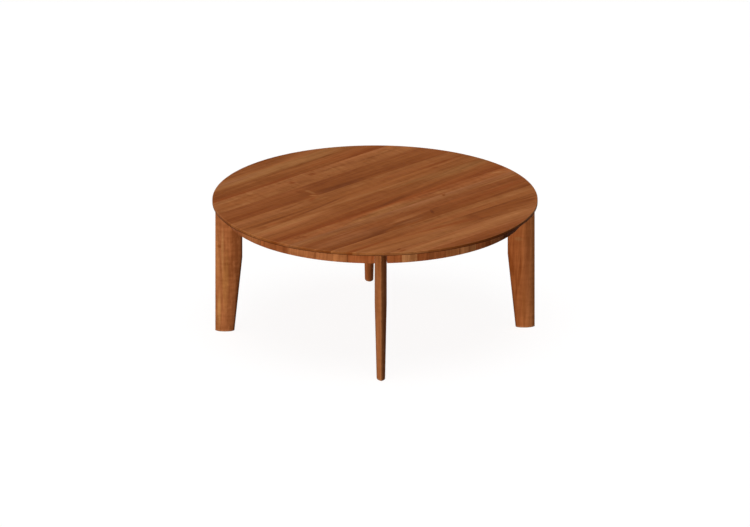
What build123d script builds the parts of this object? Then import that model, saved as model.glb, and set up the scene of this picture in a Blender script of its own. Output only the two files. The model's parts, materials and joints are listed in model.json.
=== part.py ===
from build123d import *
import math
import os

os.makedirs("parts", exist_ok=True)

# A round low table with four fin legs that fold in under the top.
# The origin is on the floor at the table's centre, +Z is up, sizes are in millimetres.
# The legs stand on the X and Y axes: right +X, back +Y, left -X, front -Y.

# ---- the top: random-width boards, edge-glued, then turned to a disc ------------------
TABLE_HEIGHT = 378.0
TOP_DIAMETER = 900.0
TOP_THICKNESS = 20.0
RIM_THICKNESS = 8.0        # edge left standing by the under-bevel, which ends at the apron
RIM_EASE = 0.8             # small bevel on the rim's upper edge
GRAIN_ANGLE = 42.75        # direction of the boards, from +X
NARROWEST_BOARD = 30.0
BOARD_WIDTHS = (45, 70, 64, 51, 85, 32, 42, 46, 55, 41, 53, 84, 74, 54, 47)  # from the front right

# ---- the apron: a ring glued under the top, in four quarters between the legs ----------
APRON_DEPTH = 22.5
APRON_WALL = 18.0
APRON_PIVOT_GAP = 12.3     # pivot's axis to the apron, clear of the nut
APRON_LEG_GAP = 0.6        # each end of a quarter to the side of the leg

# ---- the legs: a teardrop section with a square arris outside --------------------------
LEG_INSET = 8.0            # rim to the leg's outer arris
LEG_WIDTH = 75.0           # radial, from the head down to the taper
LEG_THICKNESS = 33.6
FOOT_WIDTH = 53.0          # the foot is the same section, scaled down to this
TAPER_HEIGHT = 214.0       # the taper runs from here to the floor
LEG_HORN_GAP = 0.4         # leg head to the under-bevel
LEG_HORN_RUN = 3.0         # length of the step from the flat seat to the horn
HEAD_SEAT_START = 3.0      # flat seat under the top, from this far outside the pivot
SECTION_ARCS = 24          # arcs that the section's ellipse is drawn in

# ---- the fold joint: a bolt through both cheeks, a sleeve in the leg and a washer -------
PIVOT_INSET = 17.7         # leg's inner edge to the pivot, also the head's round
FOLD_GAP = 0.3             # folded leg to the underside of the top
BOLT_D = 8.0
BOLT_FIT = 0.05            # radial running fit of the bolt in its sleeve
BOLT_HOLE_FIT = 0.1        # radial clearance in the cheeks and the washer
BOLT_HEAD_HEIGHT = 5.3
BOLT_TIP = 2.0             # thread that stands out of the nut
NUT_FLATS = 13.0           # of the bolt's head too
NUT_HEIGHT = 8.0
SLEEVE_D = 12.0
SLEEVE_FIT = 0.02          # radial seat of the sleeve in the leg
WASHER_D = 18.0
WASHER_THICKNESS = 2.0
WASHER_SEAT_GAP = 1.0      # washer to the wall of the seat cut for it, radial

# ---- the brackets: one pressed angle on each side of a leg ----------------------------
PLATE = 2.5
BRACKET_LEG_GAP = 0.4      # cheek to the side of the leg
CHEEK_RADIUS = 9.5         # round end of the cheek, about the pivot
BEND_RADIUS = 2.0          # inside of the bend
FLANGE_LENGTH = 48.0
FLANGE_WIDTH = 28.0        # from the cheek's inner face
FLANGE_CORNER = 7.0        # cut off the flange's outer corners
FLANGE_APRON_GAP = 5.0
SCREW_EDGE = 9.0           # screw to the flange's edges

# ---- wood screws, with their threads and drives left out -------------------------------
SCREW_SIDES = 6            # a screw and its holes are drawn six-sided
SCREW_D = 4.0
SCREW_FIT = 0.1            # radial
SCREW_HEAD_D = 8.0
SCREW_HEAD_HEIGHT = 2.4
SCREW_BITE = 14.0          # how far a screw goes into the top

# ---- worked out from the sizes above --------------------------------------------------
TOP_RADIUS = TOP_DIAMETER / 2
UNDERSIDE = TABLE_HEIGHT - TOP_THICKNESS
RIM_BOTTOM = TABLE_HEIGHT - RIM_THICKNESS
LEG_ARRIS = TOP_RADIUS - LEG_INSET
LEG_INNER = LEG_ARRIS - LEG_WIDTH
PIVOT_X = LEG_INNER + PIVOT_INSET
PIVOT_Z = UNDERSIDE - FOLD_GAP - PIVOT_INSET
APRON_BOTTOM = UNDERSIDE - APRON_DEPTH
APRON_INNER = PIVOT_X + APRON_PIVOT_GAP
APRON_OUTER = APRON_INNER + APRON_WALL
APRON_END = LEG_THICKNESS / 2 + APRON_LEG_GAP
CHEEK_IN = LEG_THICKNESS / 2 + BRACKET_LEG_GAP
CHEEK_OUT = CHEEK_IN + PLATE
WASHER_SEAT = CHEEK_IN - WASHER_THICKNESS
FLANGE_END = APRON_INNER - FLANGE_APRON_GAP

# Each leg with its turn about Z.
SIDES = {"right": 0, "back": 90, "left": 180, "front": 270}
# Each apron quarter, by the turn of the leg that it starts at.
QUARTERS = {"back_right": 0, "back_left": 90, "front_left": 180, "front_right": 270}


def at_pivot(solid):
    """Turn a solid made along +Z to point along +Y from the pivot's middle."""
    return Pos(PIVOT_X, 0, PIVOT_Z) * Rot(-90, 0, 0) * solid


def both_cheeks(solid):
    """A solid on the leg's +Y side and its mirror image on the other side."""
    return [solid, mirror(solid, about=Plane.XZ)]


def at_all_legs(solids):
    """Copies of the right leg's solids at each of the four legs."""
    return [Rot(0, 0, turn) * solid for turn in SIDES.values() for solid in solids]


def turned_shape(outline):
    """Revolve a closed outline of (radius, height) points about Z."""
    return revolve(make_face(Plane.XZ * Polyline(*outline, close=True)), Axis.Z)


# ---- wood screws ----------------------------------------------------------------------

def screw_rod(diameter, length):
    """A rod with flat sides, up from z = 0."""
    return extrude(RegularPolygon(diameter / 2, SCREW_SIDES), length)


def wood_screw():
    """Screw pointing up, the underside of its head at z = 0."""
    head = Pos(0, 0, -SCREW_HEAD_HEIGHT) * screw_rod(SCREW_HEAD_D, SCREW_HEAD_HEIGHT)
    return head + screw_rod(SCREW_D, PLATE + SCREW_BITE)


def screw_hole():
    """What a screw needs cleared above its seat at z = 0."""
    return screw_rod(SCREW_D + 2 * SCREW_FIT, PLATE + SCREW_BITE + SCREW_FIT)


def screw_places():
    """Seats of the four screws at the right leg, under its two flanges."""
    y = CHEEK_IN + FLANGE_WIDTH - SCREW_EDGE
    near = FLANGE_END - SCREW_EDGE
    far = FLANGE_END - FLANGE_LENGTH + SCREW_EDGE
    seat_z = UNDERSIDE - PLATE
    return [Pos(x, side * y, seat_z) for x in (near, far) for side in (-1, 1)]


# ---- the top --------------------------------------------------------------------------

def top_disc():
    """The glued-up disc with its under-bevel and the screws' pilot holes."""
    disc = turned_shape([
        (0, UNDERSIDE),
        (APRON_OUTER, UNDERSIDE),
        (TOP_RADIUS, RIM_BOTTOM),
        (TOP_RADIUS, TABLE_HEIGHT - RIM_EASE),
        (TOP_RADIUS - RIM_EASE, TABLE_HEIGHT),
        (0, TABLE_HEIGHT),
    ])
    return disc - at_all_legs([place * screw_hole() for place in screw_places()])


def board_seams():
    """Offsets of the seams across the grain, from one rim to the other."""
    seams = [-TOP_RADIUS]
    count = 0
    while seams[-1] < TOP_RADIUS:
        seam = seams[-1] + BOARD_WIDTHS[count % len(BOARD_WIDTHS)]
        if seam > TOP_RADIUS - NARROWEST_BOARD:
            seam = TOP_RADIUS
        seams.append(seam)
        count += 1
    return seams


def top_boards():
    """The disc cut along its seams, one solid for each board."""
    disc = top_disc()
    seams = board_seams()
    boards = []
    for low, high in zip(seams, seams[1:]):
        strip = Box(TOP_DIAMETER, high - low, TABLE_HEIGHT)
        strip = Pos(0, (low + high) / 2, TABLE_HEIGHT / 2) * strip
        boards.append(disc & (Rot(0, 0, GRAIN_ANGLE) * strip))
    return boards


# ---- the apron ------------------------------------------------------------------------

def apron_quarter():
    """The quarter from the right leg to the back leg, its ends flat beside the legs."""
    ring = turned_shape([
        (APRON_INNER, APRON_BOTTOM),
        (APRON_OUTER, APRON_BOTTOM),
        (APRON_OUTER, UNDERSIDE),
        (APRON_INNER, UNDERSIDE),
    ])
    room = Box(TOP_RADIUS, TOP_RADIUS, TABLE_HEIGHT, align=Align.MIN)
    return ring & (Pos(APRON_END, APRON_END, 0) * room)


# ---- the legs -------------------------------------------------------------------------

def leg_section(width, height):
    """Teardrop: an ellipse that runs on in two tangent flats to a square arris.

    A square arris at x = tip touches an ellipse of half axes a and b whose centre is
    hypot(a, b) inside the tip, so a follows from the width a + hypot(a, b).
    """
    b = LEG_THICKNESS / LEG_WIDTH * width / 2
    a = (width ** 2 - b ** 2) / (2 * width)
    centre = LEG_ARRIS - math.hypot(a, b)
    start = math.atan2(b, a)
    step = (math.pi - start) / SECTION_ARCS
    angles = [start + count * step for count in range(2 * SECTION_ARCS + 1)]
    points = [(centre + a * math.cos(angle), b * math.sin(angle)) for angle in angles]
    outline = [Polyline(points[-1], (LEG_ARRIS, 0), points[0])]
    for first in range(0, 2 * SECTION_ARCS, 2):
        outline.append(ThreePointArc(*points[first:first + 3]))
    return Pos(0, 0, height) * make_face(outline)


def leg_head_waste():
    """What is cut off above the head: the round about the pivot and the top's underside."""
    start = LEG_INNER - PIVOT_INSET
    seat_start = PIVOT_X + HEAD_SEAT_START
    corner = Plane.XZ * make_face([
        Line((start, PIVOT_Z), (LEG_INNER, PIVOT_Z)),
        CenterArc((PIVOT_X, PIVOT_Z), PIVOT_INSET, 180, -90),
        Line((PIVOT_X, PIVOT_Z + PIVOT_INSET), (seat_start, UNDERSIDE)),
        Line((seat_start, UNDERSIDE), (seat_start, TABLE_HEIGHT)),
        Line((seat_start, TABLE_HEIGHT), (start, TABLE_HEIGHT)),
        Line((start, TABLE_HEIGHT), (start, PIVOT_Z)),
    ])
    under_top = turned_shape([
        (start, UNDERSIDE),
        (APRON_OUTER - LEG_HORN_RUN, UNDERSIDE),
        (APRON_OUTER, UNDERSIDE - LEG_HORN_GAP),
        (TOP_RADIUS, RIM_BOTTOM - LEG_HORN_GAP),
        (TOP_RADIUS, TABLE_HEIGHT),
        (start, TABLE_HEIGHT),
    ])
    return [extrude(corner, LEG_THICKNESS, both=True), under_top]


def right_leg():
    """One leg on the +X side, bored for its sleeve, with a round seat for the washer."""
    at_taper = leg_section(LEG_WIDTH, TAPER_HEIGHT)
    at_floor = leg_section(FOOT_WIDTH, 0)
    leg = extrude(at_taper, TABLE_HEIGHT - TAPER_HEIGHT)
    leg -= leg_head_waste()
    leg += loft([at_floor, at_taper], ruled=True)
    leg -= at_pivot(Cylinder(SLEEVE_D / 2, LEG_THICKNESS))
    seat = Cylinder(WASHER_D / 2 + WASHER_SEAT_GAP, LEG_THICKNESS)
    leg -= at_pivot(Pos(0, 0, WASHER_SEAT + LEG_THICKNESS / 2) * seat)
    return leg


# ---- what turns on the pivot ----------------------------------------------------------

def ring(bore, diameter, low, high):
    """A plain ring on the pivot, from one distance along it to another."""
    disc = Pos(0, 0, (low + high) / 2) * Cylinder(diameter / 2, high - low)
    return at_pivot(disc - Cylinder(bore / 2, TOP_DIAMETER))


def sleeve_bush():
    """Plain sleeve through the leg, from one cheek to the washer at the other."""
    return ring(BOLT_D + 2 * BOLT_FIT, SLEEVE_D - 2 * SLEEVE_FIT, -CHEEK_IN, WASHER_SEAT)


def friction_washer():
    """Washer that the lock nut squeezes against the leg, for the fold's friction."""
    return ring(BOLT_D + 2 * BOLT_HOLE_FIT, WASHER_D, WASHER_SEAT, CHEEK_IN)


def hexagon(height):
    """Hexagon prism up from z = 0, of the bolt head's and the nut's size."""
    return extrude(RegularPolygon(NUT_FLATS / 2, 6, major_radius=False), height)


def pivot_bolt():
    """Hexagon bolt through both cheeks, its head on the leg's -Y side."""
    shank_length = 2 * CHEEK_OUT + NUT_HEIGHT + BOLT_TIP
    shank = Pos(0, 0, shank_length / 2 - CHEEK_OUT) * Cylinder(BOLT_D / 2, shank_length)
    head = Pos(0, 0, -CHEEK_OUT - BOLT_HEAD_HEIGHT) * hexagon(BOLT_HEAD_HEIGHT)
    return at_pivot(head + shank)


def lock_nut():
    """Hexagon nut against the cheek on the +Y side."""
    nut = hexagon(NUT_HEIGHT) - Cylinder(BOLT_D / 2 + BOLT_FIT, 3 * NUT_HEIGHT)
    return at_pivot(Pos(0, 0, CHEEK_OUT) * nut)


# ---- the brackets ---------------------------------------------------------------------

def bracket():
    """The pressed angle on the right leg's +Y side: a cheek and a screwed flange."""
    low = PIVOT_Z - CHEEK_RADIUS
    start = FLANGE_END - FLANGE_LENGTH
    section = Polyline(
        (CHEEK_IN, low), (CHEEK_OUT, low), (CHEEK_OUT, UNDERSIDE - PLATE),
        (CHEEK_IN + FLANGE_WIDTH, UNDERSIDE - PLATE), (CHEEK_IN + FLANGE_WIDTH, UNDERSIDE),
        (CHEEK_IN, UNDERSIDE), close=True)
    angle = extrude(Plane.YZ * make_face(section), FLANGE_LENGTH)
    angle = Pos(start, 0, 0) * angle
    bends = angle.edges().filter_by(Axis.X)
    inside = bends.sort_by_distance((start, CHEEK_OUT, UNDERSIDE - PLATE))[0]
    angle = fillet(inside, BEND_RADIUS)
    bends = angle.edges().filter_by(Axis.X)
    outside = bends.sort_by_distance((start, CHEEK_IN, UNDERSIDE))[0]
    angle = fillet(outside, BEND_RADIUS + PLATE)
    corners = angle.edges().filter_by(Axis.Z).group_by(Axis.Y)[-1]
    angle = chamfer(corners, FLANGE_CORNER)
    eye = Pos(PIVOT_X, PIVOT_Z) * Circle(CHEEK_RADIUS)
    root_height = BEND_RADIUS + PLATE
    root_middle = (start + FLANGE_END) / 2
    root = Pos(root_middle, UNDERSIDE - root_height / 2) * Rectangle(FLANGE_LENGTH, root_height)
    side_view = make_hull(eye.edges() + root.edges())
    angle &= Plane.XZ * extrude(side_view, TOP_RADIUS, both=True)
    angle -= at_pivot(Cylinder(BOLT_D / 2 + BOLT_HOLE_FIT, 3 * CHEEK_OUT))
    angle -= [place * screw_hole() for place in screw_places()]
    return angle


# ---- every piece, written as its own node ---------------------------------------------

def write(name, solids):
    """One STEP file for a node, from one solid or from a group of them."""
    group = solids if isinstance(solids, list) else [solids]
    shape = group[0] if len(group) == 1 else Compound(children=group)
    export_step(shape, os.path.join("parts", name + ".step"))


for number, board in enumerate(top_boards(), start=1):
    write(f"top_board_{number:02d}", board)

quarter = apron_quarter()
for name, turn in QUARTERS.items():
    write(f"apron_{name}", Rot(0, 0, turn) * quarter)

bracket_left, bracket_right = both_cheeks(bracket())
leg_pieces = {
    "leg": right_leg(),
    "sleeve_bush": sleeve_bush(),
    "bracket_left": bracket_left,
    "bracket_right": bracket_right,
}
for side, turn in SIDES.items():
    for piece, solid in leg_pieces.items():
        write(f"{side}_{piece}", Rot(0, 0, turn) * solid)

write("pivot_bolts", at_all_legs([pivot_bolt()]))
write("lock_nuts", at_all_legs([lock_nut()]))
write("friction_washers", at_all_legs([friction_washer()]))
write("bracket_screws", at_all_legs([place * wood_screw() for place in screw_places()]))
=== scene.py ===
import json
import math

import bpy
import numpy as np
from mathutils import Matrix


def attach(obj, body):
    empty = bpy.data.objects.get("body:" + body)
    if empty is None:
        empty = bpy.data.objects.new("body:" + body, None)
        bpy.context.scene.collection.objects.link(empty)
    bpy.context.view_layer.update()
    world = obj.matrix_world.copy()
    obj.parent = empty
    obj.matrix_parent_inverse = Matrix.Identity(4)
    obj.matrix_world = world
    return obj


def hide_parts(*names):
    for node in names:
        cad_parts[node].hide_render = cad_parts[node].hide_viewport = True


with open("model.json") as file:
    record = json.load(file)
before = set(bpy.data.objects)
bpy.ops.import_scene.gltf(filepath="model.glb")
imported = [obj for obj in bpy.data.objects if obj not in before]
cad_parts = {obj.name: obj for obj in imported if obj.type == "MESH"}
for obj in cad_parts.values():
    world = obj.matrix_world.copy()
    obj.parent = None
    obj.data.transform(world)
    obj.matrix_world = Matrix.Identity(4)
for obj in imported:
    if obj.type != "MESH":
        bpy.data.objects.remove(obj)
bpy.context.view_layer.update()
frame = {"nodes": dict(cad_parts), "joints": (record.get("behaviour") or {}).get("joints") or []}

CAD = frame["nodes"]


# ---- the studio ------------------------------------------------------
# A white paper floor goes on to the horizon and is clear from below. The key lamp stands at the
# front left, a weak lamp lights the back, a broad one overhead draws the soft shadow on the
# floor, and one straight below stands for the light that the floor throws up.

VIEW_TURN = math.radians(-2.25)
VIEW_RISE = math.radians(19.36)
VIEW_WIDTH = 2.074
VIEW_MIDDLE = np.array([0.0, 0.0, 0.1895])
VIEW_DISTANCE = 4.0
VIEW_REACH = 50.0


def direction(turn, rise):
    """Unit vector from the table to the camera: turn is about Z from the front, rise is above
    the horizon."""
    across = math.cos(rise)
    return np.array([math.sin(turn) * across, -math.cos(turn) * across, math.sin(rise)])


def looking_back_from(turn, rise):
    """Rotation of a camera or a lamp that looks at the table from that direction."""
    return (math.pi / 2 - rise, 0, turn)


camera = bpy.data.objects.new("camera", bpy.data.cameras.new("camera"))
camera.data.type = "ORTHO"
camera.data.ortho_scale = VIEW_WIDTH
camera.data.clip_end = VIEW_REACH
camera.location = VIEW_MIDDLE + VIEW_DISTANCE * direction(VIEW_TURN, VIEW_RISE)
camera.rotation_euler = looking_back_from(VIEW_TURN, VIEW_RISE)
bpy.context.scene.collection.objects.link(camera)
bpy.context.scene.camera = camera
bpy.context.scene.view_settings.view_transform = "Standard"

# Turn from the front, rise, strength, width of the lamp's disc, shadow and highlight. Turn, rise
# and width are in degrees.
LAMPS = {
    "key": (-32, 39, 3.2, 20, False, True),
    "back": (160, 8, 1.15, 20, False, False),
    "overhead": (-20, 80, 0.5, 50, True, True),
    "beneath": (0, -90, 0.8, 20, False, True),
}
for name, (turn, rise, strength, disc, shadow, highlight) in LAMPS.items():
    lamp = bpy.data.objects.new(name, bpy.data.lights.new(name, "SUN"))
    lamp.data.energy = strength
    lamp.data.angle = math.radians(disc)
    lamp.data.use_shadow = shadow
    lamp.visible_glossy = highlight
    lamp.rotation_euler = looking_back_from(math.radians(turn), math.radians(rise))
    bpy.context.scene.collection.objects.link(lamp)


def add(tree, kind, inputs=(), **settings):
    """A new node: settings are its own properties, inputs are values or sockets by name."""
    node = tree.nodes.new(kind)
    for key, value in settings.items():
        setattr(node, key, value)
    for key, value in dict(inputs).items():
        if isinstance(value, bpy.types.NodeSocket):
            tree.links.new(value, node.inputs[key])
        else:
            node.inputs[key].default_value = value
    return node


def maths(tree, operation, *values):
    """The result of a Math node."""
    return add(tree, "ShaderNodeMath", dict(enumerate(values)), operation=operation).outputs[0]


def seen_directly(tree):
    """1 for the camera, for mirror images and through glass, 0 for soft bounced light."""
    rays = add(tree, "ShaderNodeLightPath").outputs
    mirrored = maths(tree, "MAXIMUM", rays["Is Glossy Ray"], rays["Is Transmission Ray"])
    return maths(tree, "MAXIMUM", rays["Is Camera Ray"], mirrored)


WHITE = (1, 1, 1, 1)
AMBIENT = 0.06
world = bpy.data.worlds.new("studio")
world.use_nodes = True
bpy.context.scene.world = world
tree = world.node_tree
tree.nodes.clear()
level = add(tree, "ShaderNodeMapRange", {"Value": seen_directly(tree), "To Min": AMBIENT, "To Max": 1.0})
sky = add(tree, "ShaderNodeBackground", {"Color": WHITE, "Strength": level.outputs[0]})
add(tree, "ShaderNodeOutputWorld", {"Surface": sky.outputs[0]})

FLOOR_REACH = 30.0
FLOOR_DROP = 0.0004
# Seen directly, the lit grey and the glow add up to white. Bounced light meets a darker grey.
FLOOR_GREY = (0.42, 0.42, 0.42, 1)
FLOOR_GLOW = 0.63
BOUNCE_GREY = (0.15, 0.15, 0.15, 1)
corners = np.array([(-1, -1, 0), (1, -1, 0), (1, 1, 0), (-1, 1, 0)]) * FLOOR_REACH
floor_mesh = bpy.data.meshes.new("floor")
floor_mesh.from_pydata((corners - [0, 0, FLOOR_DROP]).tolist(), [], [(0, 1, 2, 3)])
floor = bpy.data.objects.new("floor", floor_mesh)
bpy.context.scene.collection.objects.link(floor)
paper = bpy.data.materials.new("floor_paper")
paper.use_nodes = True
tree = paper.node_tree
tree.nodes.clear()
shaded = add(tree, "ShaderNodeBsdfDiffuse", {"Color": FLOOR_GREY})
glow = add(tree, "ShaderNodeEmission", {"Color": WHITE, "Strength": FLOOR_GLOW})
shown = add(tree, "ShaderNodeAddShader", {0: shaded.outputs[0], 1: glow.outputs[0]})
bounced = add(tree, "ShaderNodeBsdfDiffuse", {"Color": BOUNCE_GREY})
above = add(tree, "ShaderNodeMixShader", {
    0: seen_directly(tree), 1: bounced.outputs[0], 2: shown.outputs[0]})
clear = add(tree, "ShaderNodeBsdfTransparent")
from_below = add(tree, "ShaderNodeNewGeometry").outputs["Backfacing"]
surface = add(tree, "ShaderNodeMixShader", {0: from_below, 1: above.outputs[0], 2: clear.outputs[0]})
add(tree, "ShaderNodeOutputMaterial", {"Surface": surface.outputs[0]})
floor_mesh.materials.append(paper)


# ---- the top ---------------------------------------------------------
# Sixteen random-width boards of reddish-brown hardwood, glued edge to edge, then turned
# to a disc and oiled. Each board has its own tones, knots and streaks, and some are curly.


def srgb(red, green, blue):
    """A colour given as it looks on a screen, 0 to 255, as the linear colour nodes take."""
    shown = np.array([red, green, blue]) / 255
    linear = np.where(shown <= 0.04045, shown / 12.92, ((shown + 0.055) / 1.055) ** 2.4)
    return (*linear.tolist(), 1.0)


def effect(name, inputs, outputs):
    """An empty node group with those sockets, its input sockets and its output node."""
    tree = bpy.data.node_groups.new(name, "ShaderNodeTree")
    for label, kind in inputs.items():
        tree.interface.new_socket(label, in_out="INPUT", socket_type="NodeSocket" + kind)
    for label, kind in outputs.items():
        tree.interface.new_socket(label, in_out="OUTPUT", socket_type="NodeSocket" + kind)
    return tree, add(tree, "NodeGroupInput").outputs, add(tree, "NodeGroupOutput")


def blend(tree, amount, first, second, kind="MIX"):
    """The second colour over the first, as far as the amount says."""
    node = add(tree, "ShaderNodeMix", {0: amount, 6: first, 7: second}, data_type="RGBA", blend_type=kind)
    return node.outputs[2]


def between(tree, value, low, high, to_low=0.0, to_high=1.0, kind="LINEAR"):
    """A value taken from one range to another, held at its ends."""
    return add(tree, "ShaderNodeMapRange", {
        "Value": value, "From Min": low, "From Max": high, "To Min": to_low, "To Max": to_high},
        interpolation_type=kind).outputs[0]


def stretched_noise(tree, vector, along, across, detail, turn=0.0):
    """Noise of so many waves a metre along and across the grain, its middle half from -1 to 1."""
    scaled = add(tree, "ShaderNodeMapping", {
        "Vector": vector, "Rotation": (0, 0, turn), "Scale": (along, across, across)})
    made = add(tree, "ShaderNodeTexNoise", {
        "Vector": scaled.outputs[0], "Scale": 1.0, "Detail": detail, "Roughness": 0.55})
    return between(tree, made.outputs["Fac"], 0.25, 0.75, -1.0, 1.0)


def level_length(tree, vector):
    """Length of a vector's level part, its X and Y."""
    level = add(tree, "ShaderNodeVectorMath", {0: vector, 1: (1, 1, 0)}, operation="MULTIPLY").outputs[0]
    return add(tree, "ShaderNodeVectorMath", {0: level}, operation="LENGTH").outputs["Value"]


# Noises of the wood: waves a metre along the grain and across it, detail, and a turn if any.
DRIFT = (1.7, 6, 1.0)
RINGS = (0.7, 11, 1.0)
BANDS = (1.5, 27, 2.0)
STREAKS = (6, 125, 3.0)
FIBRES = (26, 560, 2.0)
RIPPLE = (85, 22, 2.0, 0.12)
FLECKS = (45, 75, 2.0, 0.15)
PORES = (50, 1500, 1.0)

DRIFT_REACH = 0.009
RINGS_A_WAVE = 4.0
RING_EDGE = 2.5
RING_SHARE = -0.15
SHARES = ((BANDS, 0.33), (STREAKS, 0.25), (FIBRES, 0.14))
LEAST_RIPPLE = 0.1
CURLY_RIPPLE = 0.35
LIGHTER = 0.04
PORE_SHADE = 0.4
FLECK_RANGE = (0.1, 0.9)
PORE_RANGE = (0.55, 0.95)
FIGURE_RANGE = (-0.6, 0.6)
DULL_WOOD = 0.66
SMOOTH_WOOD = 0.52
# What the tone is multiplied by in dark wood, light wood and curly flecks.
DARK_WOOD = (0.71, 0.63, 0.56, 1)
LIGHT_WOOD = (1.32, 1.36, 1.42, 1)
FLECK_WOOD = (1.55, 1.7, 1.9, 1)


def wood_effect():
    """Figured wood with its grain along X of the vector it is given. The grain drifts with a
    slow noise and a slant, then bands, growth rings, streaks, fibres and a cross ripple are
    summed and mix a darker, redder shade of the tone with a lighter one. Pores darken it and
    curly flecks lighten it."""
    tree, given, result = effect("wood_figure", {
        "Vector": "Vector", "Tone": "Color", "Seed": "Float", "Slant": "Float", "Contrast": "Float",
        "Curl": "Float"}, {"Color": "Color", "Roughness": "Float", "Height": "Float"})
    here = add(tree, "ShaderNodeSeparateXYZ", {0: given["Vector"]}).outputs
    shift = add(tree, "ShaderNodeCombineXYZ", {0: given["Seed"], 1: given["Seed"], 2: given["Seed"]})
    place = add(tree, "ShaderNodeVectorMath", {0: given["Vector"], 1: shift.outputs[0]}).outputs[0]
    drift = maths(tree, "MULTIPLY", stretched_noise(tree, place, *DRIFT), DRIFT_REACH)
    tilt = maths(tree, "MULTIPLY", here["X"], given["Slant"])
    moved = add(tree, "ShaderNodeCombineXYZ", {1: maths(tree, "SUBTRACT", drift, tilt)})
    flow = add(tree, "ShaderNodeVectorMath", {0: place, 1: moved.outputs[0]}).outputs[0]

    ring = maths(tree, "FRACT", maths(tree, "MULTIPLY", stretched_noise(tree, flow, *RINGS), RINGS_A_WAVE))
    late_wood = maths(tree, "POWER", ring, RING_EDGE)
    rippled = maths(tree, "MULTIPLY_ADD", given["Curl"], CURLY_RIPPLE, LEAST_RIPPLE)
    total = maths(tree, "MULTIPLY_ADD", stretched_noise(tree, flow, *RIPPLE), rippled, LIGHTER)
    for noise, share in SHARES:
        total = maths(tree, "MULTIPLY_ADD", stretched_noise(tree, flow, *noise), share, total)
    total = maths(tree, "MULTIPLY_ADD", late_wood, RING_SHARE, total)
    total = maths(tree, "MULTIPLY", total, given["Contrast"])
    dark = blend(tree, 1.0, given["Tone"], DARK_WOOD, "MULTIPLY")
    light = blend(tree, 1.0, given["Tone"], LIGHT_WOOD, "MULTIPLY")
    wood = blend(tree, maths(tree, "ADD", total, 0.5), dark, light)
    fleck = between(tree, stretched_noise(tree, flow, *FLECKS), *FLECK_RANGE)
    fleck = maths(tree, "MULTIPLY", fleck, given["Curl"])
    wood = blend(tree, fleck, wood, blend(tree, 1.0, given["Tone"], FLECK_WOOD, "MULTIPLY"))
    pore = between(tree, stretched_noise(tree, flow, *PORES), *PORE_RANGE)
    wood = blend(tree, maths(tree, "MULTIPLY", pore, PORE_SHADE), wood, dark)
    tree.links.new(wood, result.inputs["Color"])
    roughness = between(tree, total, *FIGURE_RANGE, DULL_WOOD, SMOOTH_WOOD)
    tree.links.new(roughness, result.inputs["Roughness"])
    tree.links.new(maths(tree, "SUBTRACT", total, pore), result.inputs["Height"])
    return tree


# A noise, given as those of the wood.
FRAY = (12, 110, 2.0)
FRAY_REACH = 0.22
STAIN_CORE = 0.3
STAIN_EDGE = 1.2


def mark_effect():
    """A stain on the wood: an ellipse at its place along and across the grain, turned by its
    slant. The distance from its middle, the length of (along / half length, across / half
    width), fades it out from its core to its edge, and a little noise frays it."""
    tree, given, result = effect("wood_mark", {
        "Vector": "Vector", "Tone": "Color", "Place": "Vector", "Size": "Vector", "Slant": "Float",
        "Stain": "Color", "Strength": "Float"}, {"Color": "Color"})
    away = add(tree, "ShaderNodeVectorMath", {0: given["Vector"], 1: given["Place"]}, operation="SUBTRACT")
    lay = add(tree, "ShaderNodeVectorRotate", {
        "Vector": away.outputs[0], "Angle": maths(tree, "MULTIPLY", given["Slant"], -1.0)},
        rotation_type="Z_AXIS")
    scaled = add(tree, "ShaderNodeVectorMath", {0: lay.outputs[0], 1: given["Size"]}, operation="DIVIDE")
    reach = level_length(tree, scaled.outputs[0])
    frayed = maths(tree, "MULTIPLY_ADD", stretched_noise(tree, given["Vector"], *FRAY), FRAY_REACH, reach)
    mask = between(tree, frayed, STAIN_EDGE, STAIN_CORE, 0.0, 1.0, "SMOOTHSTEP")
    mask = maths(tree, "MULTIPLY", mask, given["Strength"])
    tree.links.new(blend(tree, mask, given["Tone"], given["Stain"]), result.inputs["Color"])
    return tree


RIM_RADIUS = 0.450
RIM_TOP = 0.378
RIM_BOTTOM = 0.370
# Each from where it starts to where it is full.
RIM_FACE = (RIM_RADIUS - 0.0025, RIM_RADIUS - 0.0005)
# Heights, tone and strength of a painted shadow line along the rim's lower edge, under the lip.
RIM_SHADOW_LINE = (RIM_BOTTOM + 0.0022, RIM_BOTTOM + 0.0008)
POLISHED_EDGE = (RIM_TOP - 0.0009, RIM_TOP - 0.0003)
RIM_SHADOW_TONE = srgb(56, 26, 12)
RIM_SHADOW_STRENGTH = 0.9
POLISHED_TONE = srgb(190, 130, 78)
POLISHED_STRENGTH = 0.25


def rim_effect():
    """The turned rim: a dark line is painted along its lower edge as the shadow under the lip, and hands
    polish the small bevel on the upper one."""
    tree, given, result = effect("rim_shadow_and_polish", {"Vector": "Vector", "Tone": "Color"}, {"Color": "Color"})
    high = add(tree, "ShaderNodeSeparateXYZ", {0: given["Vector"]}).outputs["Z"]
    face = between(tree, level_length(tree, given["Vector"]), *RIM_FACE)
    # Painted shadow line along the rim's lower edge.
    shadow_line = maths(tree, "MULTIPLY", between(tree, high, *RIM_SHADOW_LINE), RIM_SHADOW_STRENGTH)
    polish = maths(tree, "MULTIPLY", between(tree, high, *POLISHED_EDGE), POLISHED_STRENGTH)
    shadowed = blend(tree, maths(tree, "MULTIPLY", face, shadow_line), given["Tone"], RIM_SHADOW_TONE)
    polished = blend(tree, maths(tree, "MULTIPLY", face, polish), shadowed, POLISHED_TONE)
    tree.links.new(polished, result.inputs["Color"])
    return tree


WOOD = wood_effect()
MARK = mark_effect()
RIM = rim_effect()


def through(tree, group, inputs):
    """The outputs of a node group given those inputs."""
    return add(tree, "ShaderNodeGroup", inputs, node_tree=group).outputs


def new_material(name):
    """An empty node material and its tree."""
    material = bpy.data.materials.new(name)
    material.use_nodes = True
    material.node_tree.nodes.clear()
    return material, material.node_tree


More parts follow.
